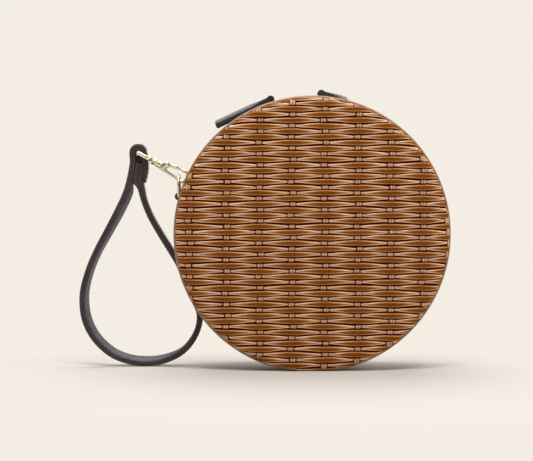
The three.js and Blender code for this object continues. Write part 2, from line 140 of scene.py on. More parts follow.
class Skin:
    """Gathers the lofts of one piece: vertices in mm, faces, material slots and a UV for each vertex."""

    def __init__(self):
        self.verts, self.faces, self.slots, self.uvs, self.count = [], [], [], [], 0

    def loft(self, rings, path_closed=False, uvs=None, slot=0):
        rings = np.asarray(rings, float)
        n, m, _ = rings.shape
        index = np.arange(n * m).reshape(n, m) + self.count
        here = index if path_closed else index[:-1]
        after = np.roll(index, -1, 0) if path_closed else index[1:]
        quads = np.stack([here, after, np.roll(after, -1, 1), np.roll(here, -1, 1)], -1).reshape(-1, 4)
        self.faces += quads.tolist()
        self.slots += np.broadcast_to(slot, here.shape).reshape(-1).tolist()
        if not path_closed:
            self.faces += [index[0].tolist(), index[-1][::-1].tolist()]
            self.slots += [0, 0]
        self.verts.append(rings.reshape(-1, 3))
        self.uvs.append(np.zeros((n * m, 2)) if uvs is None else np.reshape(uvs, (-1, 2)))
        self.count += n * m

    def slab(self, outline, low, high, place):
        """A flat prism: outline pairs and two heights, put in place by a function of (a, b, height)."""
        self.loft([[place(a, b, h) for a, b in outline] for h in (low, high)])

    def turned(self, profile, place, sides):
        """A turned piece: (radius, height) pairs, put in place by a function of (a, b, height)."""
        turns = full_turn(sides)
        self.loft([[place(r * math.cos(a), r * math.sin(a), h) for a in turns] for r, h in profile])

    def ring(self, points, normal, radius):
        """A round wire along a closed path that lies in one plane."""
        points = np.asarray(points, float)
        outward = unit(np.cross(np.roll(points, -1, 0) - np.roll(points, 1, 0), normal))
        turns = full_turn(WIRE_SIDES)
        out_part = outward[:, None] * np.cos(turns)[:, None]
        up_part = np.asarray(normal) * np.sin(turns)[:, None]
        self.loft(points[:, None] + radius * (out_part + up_part), path_closed=True)

    def stitches(self, points, along, up, length=2.2, radius=0.28):
        """Thread stitches, one at each point."""
        side = unit(np.cross(up, along))
        turns = full_turn(STITCH_SIDES)
        for p, t, s, u in zip(points, along, side, up):
            around = s * np.cos(turns)[:, None] + u * np.sin(turns)[:, None]
            rings = []
            for x, share, lift in STITCH_SECTIONS:
                rings.append(p + t * length * x + around * radius * share + u * lift)
            self.loft(rings)

    def build(self, name, looks, slot, body="bag", replaces=(), sharp=40, bevel=0, lowest=None):
        """Makes the piece, with nothing under the lowest height."""
        verts = np.concatenate(self.verts)
        if lowest is not None:
            verts[:, 2] = np.maximum(verts[:, 2], lowest)
        mesh = bpy.data.meshes.new(name)
        mesh.from_pydata((verts * MM).tolist(), [], self.faces)
        mesh.polygons.foreach_set("material_index", self.slots)
        corners = np.zeros(len(mesh.loops), int)
        mesh.loops.foreach_get("vertex_index", corners)
        layer = mesh.uv_layers.new(name="strand")
        layer.data.foreach_set("uv", np.concatenate(self.uvs)[corners].reshape(-1))
        dress(name, mesh, looks, body, replaces, sharp, bevel)


def dress(name, mesh, looks, body="bag", replaces=(), sharp=40, bevel=0):
    """Makes a piece of a mesh: outward normals, shading, materials and body."""
    work = bmesh.new()
    work.from_mesh(mesh)
    bmesh.ops.recalc_face_normals(work, faces=work.faces)
    work.to_mesh(mesh)
    work.free()
    mesh.polygons.foreach_set("use_smooth", [True] * len(mesh.polygons))
    mesh.set_sharp_from_angle(angle=math.radians(sharp))
    for look in looks:
        mesh.materials.append(look)
    piece = bpy.data.objects.new(name, mesh)
    bpy.context.scene.collection.objects.link(piece)
    if bevel:
        edge = piece.modifiers.new("edges", "BEVEL")
        edge.width = bevel * MM
        edge.segments = 2
        edge.limit_method = "ANGLE"
        edge.angle_limit = math.radians(BEVEL_ANGLE)
    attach(piece, body)
    if replaces:
        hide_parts(*replaces)


# Materials
def srgb(r, g, b):
    linear = [((c / 255 + 0.055) / 1.055) ** 2.4 if c > 10 else c / 255 / 12.92 for c in (r, g, b)]
    return (*linear, 1.0)


class Nodes:
    """A node tree with short ways to add nodes."""

    def __init__(self, tree):
        self.tree = tree

    def node(self, kind, inputs, **settings):
        node = self.tree.nodes.new(kind)
        for key, value in settings.items():
            setattr(node, key, value)
        for key, value in inputs.items():
            if isinstance(value, bpy.types.NodeSocket):
                self.tree.links.new(value, node.inputs[key])
            else:
                node.inputs[key].default_value = value
        return node

    def coords(self, kind):
        return self.node("ShaderNodeTexCoord", {}).outputs[kind]

    def part(self, vector, axis):
        return self.node("ShaderNodeSeparateXYZ", {"Vector": vector}).outputs[axis]

    def math(self, operation, a, b):
        return self.node("ShaderNodeMath", {0: a, 1: b}, operation=operation).outputs[0]

    def ease(self, value, start, end, low=0.0, high=1.0):
        """Goes softly from low at the start to high at the end."""
        reach = {"Value": value, "From Min": start, "From Max": end, "To Min": low, "To Max": high}
        return self.node("ShaderNodeMapRange", reach, interpolation_type="SMOOTHSTEP").outputs[0]

    def mix_shaders(self, amount, under, over, output):
        """One shader laid over another by an amount, and sent to the tree's output node."""
        mixed = self.node("ShaderNodeMixShader", {0: amount, 1: under.outputs[0], 2: over.outputs[0]})
        self.tree.links.new(mixed.outputs[0], self.tree.nodes[output].inputs["Surface"])


class Look(Nodes):
    """A principled material."""

    def __init__(self, name, sockets):
        self.mat = bpy.data.materials.new(name)
        self.mat.use_nodes = True
        super().__init__(self.mat.node_tree)
        self.shader = self.tree.nodes["Principled BSDF"]
        for key, value in sockets.items():
            self.shader.inputs[key].default_value = value

    def place(self, scale):
        mapping = self.node("ShaderNodeMapping", {"Vector": self.coords("Object"), "Scale": scale})
        return mapping.outputs[0]

    def noise(self, scale, detail=3.0):
        inputs = {"Vector": self.place(scale), "Scale": 1.0, "Detail": detail}
        return self.node("ShaderNodeTexNoise", inputs).outputs["Fac"]

    def span(self, value, low, high):
        """A 0 to 1 value spread from low to high."""
        return self.node("ShaderNodeMapRange", {"Value": value, "To Min": low, "To Max": high}).outputs[0]

    def fade(self, value, start, end):
        """1 up to the start, falling softly to 0 at the end."""
        return self.ease(value, start, end, 1.0, 0.0)

    def weigh(self, a, b, share):
        """Two values added by weight: the second one's share, and the rest of the first."""
        return self.math("ADD", self.math("MULTIPLY", a, 1 - share), self.math("MULTIPLY", b, share))

    def blend(self, amount, under, over):
        """One colour laid over another by an amount."""
        return self.node("ShaderNodeMix", {0: amount, 6: under, 7: over}, data_type="RGBA").outputs[2]

    def ramp(self, value, stops):
        node = self.node("ShaderNodeValToRGB", {"Fac": value})
        elements = node.color_ramp.elements
        while len(elements) < len(stops):
            elements.new(0.5)
        for element, (position, colour) in zip(elements, stops):
            element.position = position
            element.color = colour
        return node.outputs["Color"]

    def tint(self, colour, value):
        """A colour made lighter or darker by a value round 1."""
        return self.node("ShaderNodeVectorMath", {0: colour, "Scale": value}, operation="SCALE").outputs[0]

    def bump(self, height, strength, depth_mm):
        inputs = {"Height": height, "Strength": strength, "Distance": depth_mm * MM}
        self.drive("Normal", self.node("ShaderNodeBump", inputs).outputs[0])

    def drive(self, socket, value):
        self.tree.links.new(value, self.shader.inputs[socket])


# Painted shade: the dark red-brown a strand turns at its edges and where it passes under another strand.
HOLLOW_SHADE = srgb(90, 22, 0)


def rattan(name, stops, spread, ends, edges, grain):
    """Glossy stained rattan: deep on the crown, painted highlight at ends and edges, painted shade in
    hollows.
    """
    look = Look(name, {"Specular IOR Level": 0.0, "Coat Roughness": 0.25, "Coat Tint": (1.0, 0.95, 0.88, 1)})
    uv = look.node("ShaderNodeUVMap", {}, uv_map="strand").outputs[0]
    along, across = look.node("ShaderNodeSeparateXYZ", {"Vector": uv}).outputs[:2]
    lengthwise = look.math("MULTIPLY", look.math("POWER", along, 1.5), spread[0])
    reach = look.math("ADD", lengthwise, look.math("MULTIPLY", across, spread[1]))
    blotch = look.span(look.noise((160, 160, 260)), -0.08, 0.08)
    fibre = look.noise(grain, 4)
    own = look.node("ShaderNodeNewGeometry", {}).outputs["Random Per Island"]
    # The ramp turns pale at high reach, towards a strand's ends and edges: painted highlight and painted
    # reflection.
    colour = look.ramp(look.math("ADD", reach, blotch), stops)
    shade = look.math("MULTIPLY", look.span(fibre, 0.7, 1.3), look.span(own, 0.92, 1.08))
    # crown is 1 on a strand's top and falls to 0 at its edges and where it goes under; there the colour is
    # painted shade.
    crown = look.math("MULTIPLY", look.fade(along, *ends), look.fade(across, *edges))
    look.drive("Base Color", look.blend(crown, HOLLOW_SHADE, look.tint(colour, shade)))
    look.drive("Roughness", look.span(fibre, 0.4, 0.6))
    look.drive("Coat Weight", look.math("MULTIPLY", crown, 0.25))
    look.bump(fibre, strength=0.25, depth_mm=0.12)
    return look.mat


def leather(name, dark, light, roughness, cell=1.0, gloss=0.5, sheen=0.0, speck=0.2):
    """Grained leather: fine cells, soft mottling and a little variation in gloss."""
    look = Look(name, {"Specular IOR Level": gloss, "Coat Weight": 0.2 * gloss, "Coat Roughness": 0.3,
                       "Sheen Weight": sheen, "Sheen Roughness": 0.35})
    cells = look.node("ShaderNodeTexVoronoi", {"Vector": look.place((1000 / cell,) * 3), "Scale": 1.0},
                      feature="DISTANCE_TO_EDGE").outputs["Distance"]
    fine = look.noise((2600 / cell,) * 3)
    mottle = look.noise((90, 90, 90), 4)
    look.drive("Base Color", look.ramp(look.weigh(mottle, fine, speck), [(0.25, dark), (0.75, light)]))
    look.drive("Roughness", look.span(look.weigh(mottle, fine, 0.5), roughness - 0.14, roughness + 0.16))
    grain = look.math("ADD", look.math("MINIMUM", cells, 0.22), look.math("MULTIPLY", fine, 0.15))
    look.bump(grain, strength=0.35, depth_mm=0.22)
    return look.mat


def plated(name, colour, roughness):
    """Polished plated metal with faint handling marks."""
    look = Look(name, {"Metallic": 1.0, "Roughness": roughness})
    marks = look.noise((700, 700, 700), 5)
    deep = tuple(c * 0.9 for c in colour[:3]) + (1,)
    look.drive("Base Color", look.ramp(look.noise((120, 120, 120)), [(0.3, colour), (0.8, deep)]))
    look.drive("Roughness", look.span(marks, roughness - 0.08, roughness + 0.14))
    look.bump(marks, strength=0.04, depth_mm=0.05)
    return look.mat


def cloth(name, dark, light, thread):
    """Woven tape or twisted thread with fine ribs."""
    look = Look(name, {"Roughness": 0.85, "Sheen Weight": 0.3})
    waves = []
    for direction in ("X", "Y"):
        inputs = {"Vector": look.place((1000 / thread,) * 3), "Scale": 0.5, "Distortion": 0.6}
        wave = look.node("ShaderNodeTexWave", inputs, bands_direction=direction)
        waves.append(wave.outputs["Fac"])
    ribs = look.math("MULTIPLY", *waves)
    look.drive("Base Color", look.ramp(ribs, [(0.0, dark), (0.8, light)]))
    look.bump(ribs, strength=0.5, depth_mm=0.15)
    return look.mat


# Weaver colour by reach: deep brown on the crown, pale towards the ends and edges as painted highlight and
# reflection.
WEAVER = rattan(
    "rattan_weaver",
    stops=[(0.0, srgb(110, 56, 0)), (0.37, srgb(120, 65, 2)), (0.48, srgb(158, 106, 55)),
           (0.70, srgb(188, 136, 90)), (1.0, srgb(255, 217, 184))],
    spread=(0.92, 0.88), ends=(0.865, 0.915), edges=(0.66, 0.80), grain=(150, 2400, 2400))
# Stake colour: light down the middle of each stake as painted highlight, browner towards its sides.
STAKE = rattan(
    "rattan_stake",
    stops=[(0.0, srgb(210, 168, 136)), (0.4, srgb(150, 102, 70))],
    spread=(0.8, 0.5), ends=(0.06, 0.28), edges=(0.62, 0.98), grain=(2400, 2400, 150))
# The backing's dark red-brown is painted shade: it shows only through the gaps of the weave.
BACKING = leather("panel_backing", srgb(70, 20, 3), srgb(90, 28, 5), 0.8, gloss=0.0)
RIM = leather("rim_leather", srgb(132, 93, 60), srgb(166, 129, 93), 0.42, cell=0.7)
TAN = leather("gusset_leather", srgb(104, 62, 32), srgb(132, 84, 48), 0.46)
DARK = leather("dark_leather", srgb(32, 28, 30), srgb(62, 57, 60), 0.36, cell=0.9, sheen=0.5)
# The strap's inner face: its pale bluish specks on near-black are painted glints of light on the pebbled
# grain.
FACE_LEATHER = leather("strap_face_leather", srgb(4, 3, 6), srgb(124, 119, 130), 0.5,
                       cell=3.0, gloss=0.25, speck=0.8)
EDGE = leather("painted_edge", srgb(50, 38, 41), srgb(78, 64, 67), 0.48, cell=1.6, gloss=0.3, speck=0.4)
GOLD = plated("pale_gold", (0.94, 0.85, 0.62, 1), 0.2)
TEETH = plated("zip_gold", (0.78, 0.6, 0.32, 1), 0.28)
TAPE = cloth("zip_tape", srgb(44, 28, 18), srgb(86, 58, 38), 0.7)
THREAD = cloth("thread", srgb(120, 84, 52), srgb(172, 128, 86), 0.5)
DARK_THREAD = cloth("dark_thread", srgb(52, 42, 42), srgb(98, 86, 88), 0.5)

# Woven panels: rows of weavers go over one pair of stakes and under the next
STAKE_X = np.array([-123.0, -101.0, -79.5, -55.6, -34.0, -13.1, 8.1, 29.6, 50.8, 71.6, 88.6, 109.0, 130.0])
STAKE_IDS = np.arange(len(STAKE_X)) - 2
STAKE_LIMIT = 89.0  # a pair further out only guides the weavers
STAKE_APART = 0.92  # from the middle of a pair to each stake
STAKE_HALF, STAKE_THICK, STAKE_STEP = 1.08, 0.8, 0.62
STAKE_TOP, STAKE_DIVE = 0.1, 1.35  # height where a stake shows, and how far it goes under
# Painted shade at a stake's sides is weaker on the pair's inner sides, by this share.
INNER_SHADE = 0.7  # a pair's inner sides stay light
WEAVER_ROWS = range(-17, 33)
ROW_TOP = 27.1  # row 0 above the centre of the panel
ROW_PITCH = 3.61
ROW_STRAY = 0.12
SHORTEST_ROW = 60  # square of half the shortest row's length
WEAVER_THICK, WEAVER_STEP = 1.25, 1.1
WEAVER_MIDDLE, WEAVER_WAVE = -0.9, 0.75  # middle height, and its rise and fall
WEAVER_NARROW, WEAVER_SWELL, CROWN_PINCH = 0.90, 1.58, 0.32  # half heights
FEWEST_STATIONS = 12
WEAVE_EDGE = 90.4  # the weave ends here, measured over the rolled rim
FADE_START = 84.5  # strands begin to flatten here
BARE_END = 87.5  # from here on no weaver covers a stake
END_HEIGHT, END_THICK = -0.35, 0.4
END_TUCK, TUCK_REACH = 1.1, 1.2
ROLL_LIMIT = 0.6 * math.pi
WEAVE_LOWEST, STRAND_LOWEST = 0.02, 0.03  # the weave stays off the floor
FRONT_ARC = np.radians(np.linspace(-90, 90, 7))
STRAND_ACROSS = np.append(np.sin(FRONT_ARC), 0)
STRAND_UP = np.append(np.cos(FRONT_ARC), -0.6)


def wander(row, column):
    """How far a stake strays sideways at a row."""
    return 0.75 * np.sin(0.83 * row + 2.4 * column) + 0.35 * np.sin(2.1 * row + 4.7 * column + 1)


def sway(row, x):
    """How far a weaver strays up or down along its row."""
    return 0.12 * np.sin(0.117 * x + 1.9 * row) + 0.08 * np.sin(0.31 * x + 4.1 * row)


def almond(under):
    """Half height of a weaver: wide over a pair of stakes, narrow where it goes under the next."""
    bulge = 0.6 * (1 - under) + 0.2 * (1 + np.cos(math.pi * under))
    return WEAVER_NARROW + WEAVER_SWELL * bulge - CROWN_PINCH * smooth(1 - under, 0.82, 0.97)


def on_panel(x, z, height, side):
    """A place in the panel's plane and a height off its face, carried over the rolled rim."""
    reach = np.maximum(np.hypot(x, z), 1e-6)
    roll = np.clip((reach - FLAT_R) / ROLL, 0, ROLL_LIMIT)
    radius = np.minimum(reach, FLAT_R) + ROLL * np.sin(roll) + np.sin(roll) * height
    depth = FACE - ROLL + (ROLL + height) * np.cos(roll)
    up = np.maximum(CENTRE_Z + radius * z / reach, STRAND_LOWEST)
    return np.stack([radius * x / reach, side * depth, up], -1)


def rim_fade(reach, height, thick):
    """Flattens a strand towards the rim and tucks its end in."""
    keep = 1 - smooth(reach, FADE_START, WEAVE_EDGE)
    tuck = END_TUCK * smooth(reach, WEAVE_EDGE - TUCK_REACH, WEAVE_EDGE)
    return END_HEIGHT + (height - END_HEIGHT) * keep - tuck, END_THICK + (thick - END_THICK) * keep


def stations(half, step):
    return np.linspace(-half, half, max(FEWEST_STATIONS, int(2 * half / step)))


def strand_uvs(along, across):
    return np.stack(np.broadcast_arrays(along[:, None], across), -1)


def weave_rows(side):
    weavers = Skin()
    for row in WEAVER_ROWS:
        z = ROW_TOP - ROW_PITCH * row + ROW_STRAY * math.sin(1.7 * row)
        reach = WEAVE_EDGE**2 - z * z
        if reach < SHORTEST_ROW:
            continue
        x = stations(math.sqrt(reach), WEAVER_STEP)
        phase = np.mod(np.interp(x, STAKE_X + wander(row, STAKE_IDS), STAKE_IDS) - row, 2)
        under = 1 - np.abs(1 - phase)
        middle = WEAVER_MIDDLE + WEAVER_WAVE * np.cos(math.pi * under)
        height, thick = rim_fade(np.hypot(x, z), middle, WEAVER_THICK)
        up = (z + sway(row, x))[:, None] + almond(under)[:, None] * STRAND_ACROSS
        rings = on_panel(x[:, None], up, height[:, None] + thick[:, None] * STRAND_UP, side)
        # The UV holds the way to the next under-pass and the reach across; they place the painted highlight
        # and painted shade.
        weavers.loft(rings, uvs=strand_uvs(under, np.abs(STRAND_ACROSS)))
    return weavers


def weave_stakes(side):
    stakes = Skin()
    for column, x0 in zip(STAKE_IDS, STAKE_X):
        if abs(x0) > STAKE_LIMIT:
            continue
        z = stations(math.sqrt(WEAVE_EDGE**2 - x0 * x0), STAKE_STEP)
        row = (ROW_TOP - z) / ROW_PITCH
        under = 0.5 + 0.5 * np.cos(math.pi * (row - column))
        seen = 2 * np.floor((row - column - 1) / 2) + 1 + column  # the row where the stake last showed
        drift = smooth((row - seen) / 2, 0.3, 0.7)
        stray = wander(seen, column) * (1 - drift) + wander(seen + 2, column) * drift
        for pair in (-STAKE_APART, STAKE_APART):
            x = x0 + stray + pair
            height, thick = rim_fade(np.hypot(x, z), STAKE_TOP - STAKE_DIVE * under, STAKE_THICK)
            rings = on_panel(x[:, None] + STAKE_HALF * STRAND_ACROSS, z[:, None],
                             height[:, None] + thick[:, None] * STRAND_UP, side)
            # outer: painted highlight down a stake's middle, painted shade at its sides. hidden: painted
            # shade under a weaver.
            outer = np.abs(STRAND_ACROSS) * np.where(STRAND_ACROSS * pair > 0, 1.0, INNER_SHADE)
            hidden = under * (1 - smooth(np.hypot(x, z), FADE_START, BARE_END))
            stakes.loft(rings, uvs=strand_uvs(hidden, outer))
    return stakes


BACKING_DROP = 1.2  # the backing lies this far under the face
AXIS_R = 0.05  # the shell closes at this radius
SHELL_TURN = 1.5
BACKING_SLOT, RIM_SLOT = 0, 1
RIM_FROM = 59  # degrees round the roll where the bound rim starts
ROLL_ROWS = [  # degrees round the roll, height off it
    (15, -BACKING_DROP), (30, -BACKING_DROP), (45, -BACKING_DROP), (56, -1.1), (RIM_FROM, -0.5),
    (62, -0.05), (66, 0.0), (72, 0.0), (80, 0.0), (90, 0.0)]
INSIDE_ROWS = [  # radius and depth behind the roll and along the inside
    (RIM_R, RIM_BACK + 1), (RIM_R - 0.3, RIM_BACK + 0.3), (RIM_R - 1, RIM_BACK),
    (RIM_R - RIM_BEAD, RIM_BACK), (RIM_R - RIM_BEAD, FACE - 4.5), (RIM_R - 6.5, FACE - PANEL_WALL),
    (AXIS_R, FACE - PANEL_WALL)]


def panel_shell(side):
    """Backing behind the weave, dark red-brown as painted shade for the gaps, a bound rolled rim and the
    inside.
    """
    profile = [(AXIS_R, FACE - BACKING_DROP, BACKING_SLOT), (FLAT_R, FACE - BACKING_DROP, BACKING_SLOT)]
    for degrees, height in ROLL_ROWS:
        slot = RIM_SLOT if degrees >= RIM_FROM else BACKING_SLOT
        a = math.radians(degrees)
        radius = FLAT_R + (ROLL + height) * math.sin(a)
        profile.append((radius, FACE - ROLL + (ROLL + height) * math.cos(a), slot))
    profile += [(radius, depth, RIM_SLOT) for radius, depth in INSIDE_ROWS]
    turns = np.arange(0, 360, SHELL_TURN)
    shell = Skin()
    shell.loft([on_drum(turns, radius, side * depth) for radius, depth, _ in profile],
               slot=np.array([slot for _, _, slot in profile[1:]])[:, None])
    return shell


def woven_panel(name, side):
    weave_rows(side).build(name + "_weavers", [WEAVER], "rattan", lowest=WEAVE_LOWEST, sharp=180)
    weave_stakes(side).build(name + "_stakes", [STAKE], "rattan", lowest=WEAVE_LOWEST, sharp=180)
    panel_shell(side).build(name + "_shell", [BACKING, RIM], "rattan", replaces=(name,), lowest=0.0)


# Gusset and zip bands: leather with rounded edges, sewn along the rims and beside the zip
BAND_TURN = 1.5
BAND_CORNER = 0.7
BAND_GAP = 0.2  # degrees between the zip bands and the gusset
RIM_SEAM, ZIP_SEAM = 19.6, 8.9  # depths of the seams
SEAM_MARGIN = 1.5
JOIN_MARGIN = 1.6  # from an end of the zip to the seam across the gusset
JOIN_FROM, JOIN_TO = -17.0, 18.0
STITCH_PITCH = 3.0
STITCH_LIFT = 0.05
STITCH_LOWEST = 1.5  # no stitches where the bag stands on the floor
LOOK_AHEAD = 0.2  # degrees to the point that gives a seam its direction


def leather_band(start, end, front, back, floor=False):
    angles = np.linspace(start, end, int((end - start) / BAND_TURN) + 1)
    outline = rounded((back - front) / 2, GUSSET_WALL / 2, BAND_CORNER)
    radius = gusset_radius(angles)[:, None] - GUSSET_WALL / 2 + outline[:, 1]
    rings = on_drum(angles[:, None], radius, (front + back) / 2 + outline[:, 0])
    if floor:
        lowest = np.where(outline[:, 1] > 0, 0.0, GUSSET_WALL)
        rings[..., 2] = np.maximum(rings[..., 2], lowest)
    band = Skin()
    band.loft(rings)
    return band


def drum_run(angles, lift, y):
    """Points round the bag over the gusset, their directions along it and out of the bag."""
    points = on_drum(angles, gusset_radius(angles) + lift, y)
    ahead = on_drum(angles + LOOK_AHEAD, gusset_radius(angles + LOOK_AHEAD) + lift, y)
    return points, unit(ahead - points), drum_out(angles, y)


def drum_stitches(skin, start, end, y):
    """A row of stitches round the bag."""
    points, along, up = drum_run(np.arange(start, end, math.degrees(STITCH_PITCH / RIM_R)), STITCH_LIFT, y)
    keep = points[:, 2] > STITCH_LOWEST
    skin.stitches(points[keep], along[keep], up[keep])


def cross_stitches(skin, angle, y_from, y_to, lift=STITCH_LIFT, pitch=STITCH_PITCH):
    """A row of stitches across the gusset."""
    y = np.arange(y_from, y_to, pitch)
    points = on_drum(angle, gusset_radius(angle) + lift, y)
    skin.stitches(points, np.tile(Y_AXIS, (len(y), 1)), drum_out(angle, y))


def gusset_and_bands():
    gusset = leather_band(ZIP_LEFT, ZIP_RIGHT + 360, -GUSSET_HALF, GUSSET_HALF, floor=True)
    gusset.build("gusset_leather_band", [TAN], "gusset_leather", replaces=("gusset",), lowest=0.0)
    for name, front, back in (("zip_band_front", -GUSSET_HALF, -ZIP_SLOT_HALF),
                              ("zip_band_back", ZIP_SLOT_HALF, GUSSET_HALF)):
        band = leather_band(ZIP_RIGHT + BAND_GAP, ZIP_LEFT - BAND_GAP, front, back)
        band.build(name + "_leather", [TAN], "gusset_leather", replaces=(name,))
    seams = Skin()
    for y in (-RIM_SEAM, RIM_SEAM):
        drum_stitches(seams, ZIP_LEFT + SEAM_MARGIN, ZIP_RIGHT + 360 - SEAM_MARGIN, y)
        drum_stitches(seams, ZIP_RIGHT + SEAM_MARGIN, ZIP_LEFT - SEAM_MARGIN, y)
    for y in (-ZIP_SEAM, ZIP_SEAM):
        drum_stitches(seams, ZIP_RIGHT + SEAM_MARGIN, ZIP_LEFT - SEAM_MARGIN, y)
    for angle in (ZIP_LEFT + JOIN_MARGIN, ZIP_RIGHT - JOIN_MARGIN):
        cross_stitches(seams, angle, JOIN_FROM, JOIN_TO)
    seams.build("seam_stitches", [THREAD], "gusset_leather", lowest=0.05)


# Zip: woven tape, and two rows of teeth that mesh along the middle
TAPE_HALF, TAPE_HALF_WALL, TAPE_CORNER = 6.7, 0.6, 0.3
TAPE_DROP = 3.1  # middle of the tape under the leather
TAPE_SECTIONS = 90
TOOTH_PITCH = 1.04  # degrees between teeth on one side
TOOTH_MARGIN = 3.2
TOOTH_DROP = 0.5
TOOTH_HEIGHT = 1.6
TOOTH_OUTLINE = [(-0.44, -0.75), (0.44, -0.75), (0.5, 0.1), (0.36, 0.5), (0.36, 2.7), (-0.36, 2.7),
                 (-0.36, 0.5), (-0.5, 0.1)]


def tooth_place(angle, radius, side):
    return lambda a, b, h: on_drum(angle + math.degrees(a / radius), radius + h, side * b)


def zip_closure():
    tape = Skin()
    angles = np.linspace(ZIP_RIGHT + BAND_GAP, ZIP_LEFT - BAND_GAP, TAPE_SECTIONS)
    outline = rounded(TAPE_HALF, TAPE_HALF_WALL, TAPE_CORNER)
    tape_radius = gusset_radius(angles)[:, None] - TAPE_DROP + outline[:, 1]
    tape.loft(on_drum(angles[:, None], tape_radius, outline[:, 0]))
    tape.build("zip_tape_cloth", [TAPE], "zip_tape", replaces=("zip_tape",))
    teeth = Skin()
    for side in (-1, 1):
        first = ZIP_RIGHT + TOOTH_MARGIN + (side + 1) * TOOTH_PITCH / 4
        for angle in np.arange(first, ZIP_LEFT - TOOTH_MARGIN, TOOTH_PITCH):
            radius = float(gusset_radius(angle)) - TOOTH_DROP
            teeth.slab(TOOTH_OUTLINE, -TOOTH_HEIGHT, 0.0, tooth_place(angle, radius, side))
    teeth.build("zip_teeth", [TEETH], "gold", replaces=("zip_chain",), sharp=20)


# Sliders and pulls, each in a frame on the zip: along the tape, across it, and out of the bag
SLIDER_LOW, SLIDER_HIGH = TOP_R - 0.1, TOP_R + 0.7  # the slider's plate
SLIDER_SIDE = [(-11.6, 2.6), (-11.0, 3.8), (-9.6, 4.5), (-4.6, 4.7), (0.4, 4.7), (1.8, 4.4), (2.4, 3.4)]
FLANGE_START, FLANGE_END, FLANGE_IN, FLANGE_OUT = -11.0, 1.8, 3.7, 4.6
FLANGE_DROP, FLANGE_RISE = 1.9, 0.3
EAR_R, EAR_IN, EAR_OUT, EAR_RISE = 1.5, 3.1, 4.3, 0.4
PIN_PROFILE = [(0.8, -4.4), (1.0, -4.35), (1.0, 4.35), (0.8, 4.4)]  # radius, across
SLIDER_RIB = [(-9.6, -0.9), (-4.2, -1.5), (-4.2, 1.5), (-9.6, 0.9)]
RIB_SINK, RIB_RISE = 0.1, 0.5
SLIDER_EDGE = 0.22
PULL_LENGTH, PULL_WIDTH, PULL_NECK = 40.0, 11.0, 5.6
PULL_THICK, PULL_TAIL = 4.0, 1.5
PULL_ROLL = {"left": -10.0, "right": 10.0}  # a pull rolls a little to the front
PULL_LIFT = 2.6  # the straight left pull stands off the teeth
PULL_REST = TOP_R - 0.1  # underside of a pull that lies on the teeth
PULL_CORNER = 1.2
PULL_LOOP = [(1.4, -2.5), (2.2, -2.8), (2.5, -2.5), (2.5, 2.5), (2.2, 2.8), (1.4, 2.5)]  # radius, across
LOOP_TURNS = np.radians(np.arange(0, 360, 12))
CHEEK_R, CHEEK_MIDDLE, CHEEK_LENGTH, CHEEK_HALF = 2.5, 0.05, 8, 1.8
CHEEK_IN, CHEEK_EDGE, CHEEK_OUT = 4.5, 5.3, 5.5
PULL_SEAM, PULL_SEAM_START, PULL_SEAM_MARGIN, PULL_SEAM_PITCH = 4.1, 8.0, 1.5, 2.7


def zip_place(degrees, tail):
    a = math.radians(degrees)
    out = np.array([math.cos(a), 0, math.sin(a)])
    along = np.array([-out[2] * tail, 0, out[0] * tail])
    across = np.cross(out, along)
    centre = np.array([0, 0, CENTRE_Z])
    return lambda x, y, z: centre + along * x + across * y + out * z


def zip_slider(side, place):
    body = Skin()
    mirrored = [(x, -y) for x, y in SLIDER_SIDE]
    body.slab(mirrored + SLIDER_SIDE[::-1], SLIDER_LOW, SLIDER_HIGH, place)
    round_top = [(EAR_R * math.cos(a), PIN_R + EAR_R * math.sin(a)) for a in np.radians(range(15, 180, 15))]
    foot = SLIDER_LOW + EAR_RISE
    ear = [(-EAR_R, foot), (EAR_R, foot), (EAR_R, PIN_R)] + round_top + [(-EAR_R, PIN_R)]
    for s in (-1, 1):
        flange = [(FLANGE_START, s * FLANGE_IN), (FLANGE_END, s * FLANGE_IN),
                  (FLANGE_END, s * FLANGE_OUT), (FLANGE_START, s * FLANGE_OUT)]
        body.slab(flange, SLIDER_LOW - FLANGE_DROP, SLIDER_LOW + FLANGE_RISE, place)
        body.slab(ear, s * EAR_IN, s * EAR_OUT, lambda a, b, h: place(a, h, b))
    body.turned(PIN_PROFILE, lambda a, b, h: place(a, h, PIN_R + b), 20)
    body.slab(SLIDER_RIB, SLIDER_HIGH - RIB_SINK, SLIDER_HIGH + RIB_RISE, place)
    body.build(f"zip_slider_{side}", [GOLD], "gold", replaces=(f"slider_{side}",), bevel=SLIDER_EDGE)


def pull_line(bent):
    """Stations along a pull: distance from the pin, place along and out of the tape, thickness and lean."""
    line = PULL_REST + PULL_THICK / 2
    reach = math.sqrt(PIN_R**2 - line**2)
    dip = math.atan2(reach, line)
    near_pin = np.linspace(0, 8, 9)
    run = np.linspace(9, PULL_LENGTH - 0.8, 28)
    for s in np.concatenate([near_pin, run, [PULL_LENGTH - 0.3, PULL_LENGTH]]):
        thinned = float(smooth(s, reach * 0.5, reach * 1.3)) if bent else 0.0
        thick = PULL_THICK + (PULL_TAIL - PULL_THICK) * thinned
        lean = dip if bent else dip - math.radians(PULL_LIFT)
        if not bent or s < reach:
            yield s, s * math.cos(lean), PIN_R - s * math.sin(lean), thick, lean
        else:
            turn = dip + (s - reach) / line
            radius = PULL_REST + thick / 2
            yield s, radius * math.sin(turn), radius * math.cos(turn), thick, turn


def pull_point(place, row, a, b):
    """A point of a pull, across and up from its middle line at one station."""
    _, x, z, lean, roll, _ = row
    a, b = a * math.cos(roll) - b * math.sin(roll), a * math.sin(roll) + b * math.cos(roll)
    return place(x + b * math.sin(lean), a, z + b * math.cos(lean))


